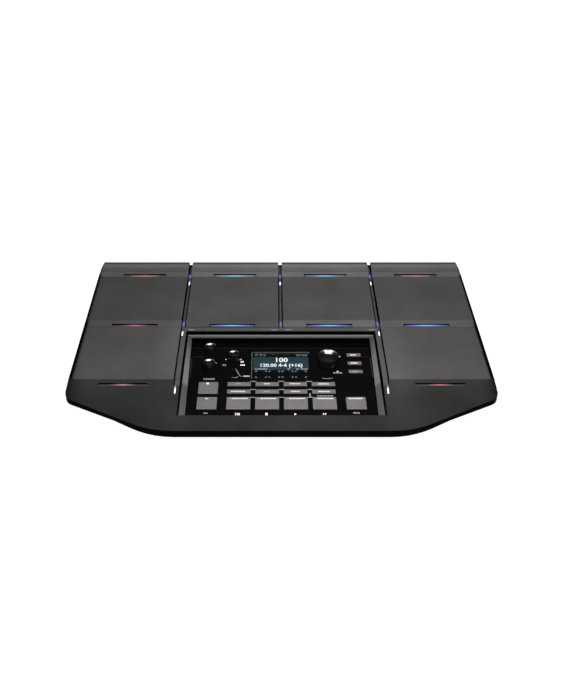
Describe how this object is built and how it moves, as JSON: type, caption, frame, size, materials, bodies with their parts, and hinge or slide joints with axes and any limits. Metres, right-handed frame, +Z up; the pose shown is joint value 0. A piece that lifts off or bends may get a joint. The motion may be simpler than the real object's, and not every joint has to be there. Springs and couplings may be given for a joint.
{
  "type": "sampling percussion pad",
  "caption": "Table-top electronic percussion pad: rubber pads in a terraced sloping deck with lit slots, round a sunken panel with display, knobs, dial and keys.",
  "frame": {"origin": "centre of the bounding box at the table, under the feet", "axes": "+X to the player's right, +Y to the back with the sockets, +Z up"},
  "size_m": [0.5092, 0.323, 0.0796],
  "materials": {
    "case_black": "fine grained black moulding",
    "frame_grey": "matte dark grey moulding",
    "pad_rubber": "matte dark grey rubber",
    "deck_steel": "bare sheet steel",
    "sensor_film": "thin piezo discs and film",
    "cushion_foam": "closed cell foam",
    "light_guide": "milky light guide, lit",
    "light_window": "milky light window, lit",
    "bezel_grey": "satin dark grey moulding",
    "panel_black": "glossy black",
    "display_glass": "clear cover",
    "display_lit": "lit screen",
    "board_green": "glass fibre board",
    "socket_black": "black moulding",
    "control_metal": "die cast body",
    "rear_plate": "black powder coat",
    "socket_metal": "plated shell",
    "button_black": "black moulding",
    "foot_rubber": "matte black rubber",
    "screw_steel": "zinc plated",
    "insert_brass": "turned brass",
    "knob_black": "glossy black",
    "key_grey": "satin warm grey",
    "shaft_metal": "turned metal"
  },
  "bodies": {
    "case": {"bottom_case": "case_black", "top_case": "case_black", "divider_frame": "frame_grey", "pad_deck": "deck_steel", "pad_sensors": "sensor_film", "pad_cushions": "cushion_foam", "slot_light_guides": "light_guide", "gap_light_windows": "light_window", "panel_bezel": "bezel_grey", "control_panel": "panel_black", "display_window": "display_glass", "display_module": "display_lit", "circuit_boards": "board_green", "key_switches": "socket_black", "control_bodies": "control_metal", "rear_panel": "rear_plate", "phone_jacks": "socket_black", "midi_sockets": "socket_black", "usb_socket": "socket_metal", "power_inlet": "socket_black", "rubber_feet": "foot_rubber", "case_screws": "screw_steel", "stand_inserts": "insert_brass"},
    "lower_pad_1": {"lower_pad_1": "pad_rubber"},
    "lower_pad_4": {"lower_pad_4": "pad_rubber"},
    "upper_pad_1": {"upper_pad_1": "pad_rubber"},
    "upper_pad_2": {"upper_pad_2": "pad_rubber"},
    "upper_pad_3": {"upper_pad_3": "pad_rubber"},
    "upper_pad_4": {"upper_pad_4": "pad_rubber"},
    "slim_pad_1": {"slim_pad_1": "pad_rubber"},
    "slim_pad_2": {"slim_pad_2": "pad_rubber"},
    "slim_pad_3": {"slim_pad_3": "pad_rubber"},
    "slim_pad_4": {"slim_pad_4": "pad_rubber"},
    "play_key": {"play_key": "key_grey"},
    "record_key": {"record_key": "key_grey"},
    "exit_key": {"exit_key": "key_grey"},
    "edit_key_1": {"edit_key_1": "key_grey"},
    "edit_key_2": {"edit_key_2": "key_grey"},
    "edit_key_3": {"edit_key_3": "key_grey"},
    "edit_key_4": {"edit_key_4": "key_grey"},
    "tool_key_1": {"tool_key_1": "key_grey"},
    "tool_key_2": {"tool_key_2": "key_grey"},
    "tool_key_3": {"tool_key_3": "key_grey"},
    "tool_key_4": {"tool_key_4": "key_grey"},
    "loop_key_1": {"loop_key_1": "key_grey"},
    "loop_key_2": {"loop_key_2": "key_grey"},
    "loop_key_3": {"loop_key_3": "key_grey"},
    "loop_key_4": {"loop_key_4": "key_grey"},
    "side_key_1": {"side_key_1": "key_grey"},
    "side_key_2": {"side_key_2": "key_grey"},
    "side_key_3": {"side_key_3": "key_grey"},
    "main_level_knob": {"main_level_knob": "knob_black", "main_level_shaft": "shaft_metal"},
    "phones_level_knob": {"phones_level_knob": "knob_black", "phones_level_shaft": "shaft_metal"},
    "tone_knob": {"tone_knob": "knob_black", "tone_shaft": "shaft_metal"},
    "dial_stem": {"dial_shaft": "shaft_metal"},
    "value_dial": {"value_dial": "knob_black"},
    "power_button": {"power_button": "button_black"}
  },
  "joints": [
    {"name": "lower_pad_1_strike", "type": "slide", "parent": "case", "child": "lower_pad_1", "axis": [0, -0.1392, 0.9903], "range_m": [-0.0006, 0], "stiffness_N_per_m": 30000},
    {"name": "lower_pad_4_strike", "type": "slide", "parent": "case", "child": "lower_pad_4", "axis": [0, -0.1392, 0.9903], "range_m": [-0.0006, 0], "stiffness_N_per_m": 30000},
    {"name": "upper_pad_1_strike", "type": "slide", "parent": "case", "child": "upper_pad_1", "axis": [0, -0.1392, 0.9903], "range_m": [-0.0006, 0], "stiffness_N_per_m": 30000},
    {"name": "upper_pad_2_strike", "type": "slide", "parent": "case", "child": "upper_pad_2", "axis": [0, -0.1392, 0.9903], "range_m": [-0.0006, 0], "stiffness_N_per_m": 30000},
    {"name": "upper_pad_3_strike", "type": "slide", "parent": "case", "child": "upper_pad_3", "axis": [0, -0.1392, 0.9903], "range_m": [-0.0006, 0], "stiffness_N_per_m": 30000},
    {"name": "upper_pad_4_strike", "type": "slide", "parent": "case", "child": "upper_pad_4", "axis": [0, -0.1392, 0.9903], "range_m": [-0.0006, 0], "stiffness_N_per_m": 30000},
    {"name": "slim_pad_1_strike", "type": "slide", "parent": "case", "child": "slim_pad_1", "axis": [0, -0.1392, 0.9903], "range_m": [-0.0006, 0], "stiffness_N_per_m": 30000},
    {"name": "slim_pad_2_strike", "type": "slide", "parent": "case", "child": "slim_pad_2", "axis": [0, -0.1392, 0.9903], "range_m": [-0.0006, 0], "stiffness_N_per_m": 30000},
    {"name": "slim_pad_3_strike", "type": "slide", "parent": "case", "child": "slim_pad_3", "axis": [0, -0.1392, 0.9903], "range_m": [-0.0006, 0], "stiffness_N_per_m": 30000},
    {"name": "slim_pad_4_strike", "type": "slide", "parent": "case", "child": "slim_pad_4", "axis": [0, -0.1392, 0.9903], "range_m": [-0.0006, 0], "stiffness_N_per_m": 30000},
    {"name": "play_key_press", "type": "slide", "parent": "case", "child": "play_key", "axis": [0, -0.1392, 0.9903], "range_m": [-0.001, 0], "stiffness_N_per_m": 600},
    {"name": "record_key_press", "type": "slide", "parent": "case", "child": "record_key", "axis": [0, -0.1392, 0.9903], "range_m": [-0.001, 0], "stiffness_N_per_m": 600},
    {"name": "exit_key_press", "type": "slide", "parent": "case", "child": "exit_key", "axis": [0, -0.1392, 0.9903], "range_m": [-0.001, 0], "stiffness_N_per_m": 600},
    {"name": "edit_key_1_press", "type": "slide", "parent": "case", "child": "edit_key_1", "axis": [0, -0.1392, 0.9903], "range_m": [-0.001, 0], "stiffness_N_per_m": 600},
    {"name": "edit_key_2_press", "type": "slide", "parent": "case", "child": "edit_key_2", "axis": [0, -0.1392, 0.9903], "range_m": [-0.001, 0], "stiffness_N_per_m": 600},
    {"name": "edit_key_3_press", "type": "slide", "parent": "case", "child": "edit_key_3", "axis": [0, -0.1392, 0.9903], "range_m": [-0.001, 0], "stiffness_N_per_m": 600},
    {"name": "edit_key_4_press", "type": "slide", "parent": "case", "child": "edit_key_4", "axis": [0, -0.1392, 0.9903], "range_m": [-0.001, 0], "stiffness_N_per_m": 600},
    {"name": "tool_key_1_press", "type": "slide", "parent": "case", "child": "tool_key_1", "axis": [0, -0.1392, 0.9903], "range_m": [-0.001, 0], "stiffness_N_per_m": 600},
    {"name": "tool_key_2_press", "type": "slide", "parent": "case", "child": "tool_key_2", "axis": [0, -0.1392, 0.9903], "range_m": [-0.001, 0], "stiffness_N_per_m": 600},
    {"name": "tool_key_3_press", "type": "slide", "parent": "case", "child": "tool_key_3", "axis": [0, -0.1392, 0.9903], "range_m": [-0.001, 0], "stiffness_N_per_m": 600},
    {"name": "tool_key_4_press", "type": "slide", "parent": "case", "child": "tool_key_4", "axis": [0, -0.1392, 0.9903], "range_m": [-0.001, 0], "stiffness_N_per_m": 600},
    {"name": "loop_key_1_press", "type": "slide", "parent": "case", "child": "loop_key_1", "axis": [0, -0.1392, 0.9903], "range_m": [-0.001, 0], "stiffness_N_per_m": 600},
    {"name": "loop_key_2_press", "type": "slide", "parent": "case", "child": "loop_key_2", "axis": [0, -0.1392, 0.9903], "range_m": [-0.001, 0], "stiffness_N_per_m": 600},
    {"name": "loop_key_3_press", "type": "slide", "parent": "case", "child": "loop_key_3", "axis": [0, -0.1392, 0.9903], "range_m": [-0.001, 0], "stiffness_N_per_m": 600},
    {"name": "loop_key_4_press", "type": "slide", "parent": "case", "child": "loop_key_4", "axis": [0, -0.1392, 0.9903], "range_m": [-0.001, 0], "stiffness_N_per_m": 600},
    {"name": "side_key_1_press", "type": "slide", "parent": "case", "child": "side_key_1", "axis": [0, -0.1392, 0.9903], "range_m": [-0.001, 0], "stiffness_N_per_m": 600},
    {"name": "side_key_2_press", "type": "slide", "parent": "case", "child": "side_key_2", "axis": [0, -0.1392, 0.9903], "range_m": [-0.001, 0], "stiffness_N_per_m": 600},
    {"name": "side_key_3_press", "type": "slide", "parent": "case", "child": "side_key_3", "axis": [0, -0.1392, 0.9903], "range_m": [-0.001, 0], "stiffness_N_per_m": 600},
    {"name": "main_level_turn", "type": "hinge", "parent": "case", "child": "main_level_knob", "pos_m": [-0.0888, -0.0158, 0.03234], "axis": [0, -0.1392, 0.9903], "range_deg": [-150, 150]},
    {"name": "phones_level_turn", "type": "hinge", "parent": "case", "child": "phones_level_knob", "pos_m": [-0.0884, -0.04729, 0.02792], "axis": [0, -0.1392, 0.9903], "range_deg": [-150, 150]},
    {"name": "tone_turn", "type": "hinge", "parent": "case", "child": "tone_knob", "pos_m": [-0.0585, -0.03015, 0.03033], "axis": [0, -0.1392, 0.9903], "range_deg": [-150, 150]},
    {"name": "value_dial_push", "type": "slide", "parent": "case", "child": "dial_stem", "axis": [0, -0.1392, 0.9903], "range_m": [-0.0006, 0], "stiffness_N_per_m": 1500},
    {"name": "value_dial_turn", "type": "hinge", "parent": "dial_stem", "child": "value_dial", "pos_m": [0.0587, -0.03719, 0.02934], "axis": [0, -0.1392, 0.9903], "continuous": true},
    {"name": "power_press", "type": "slide", "parent": "case", "child": "power_button", "axis": [0, 1, 0], "range_m": [-0.002, 0], "stiffness_N_per_m": 800}
  ]
}
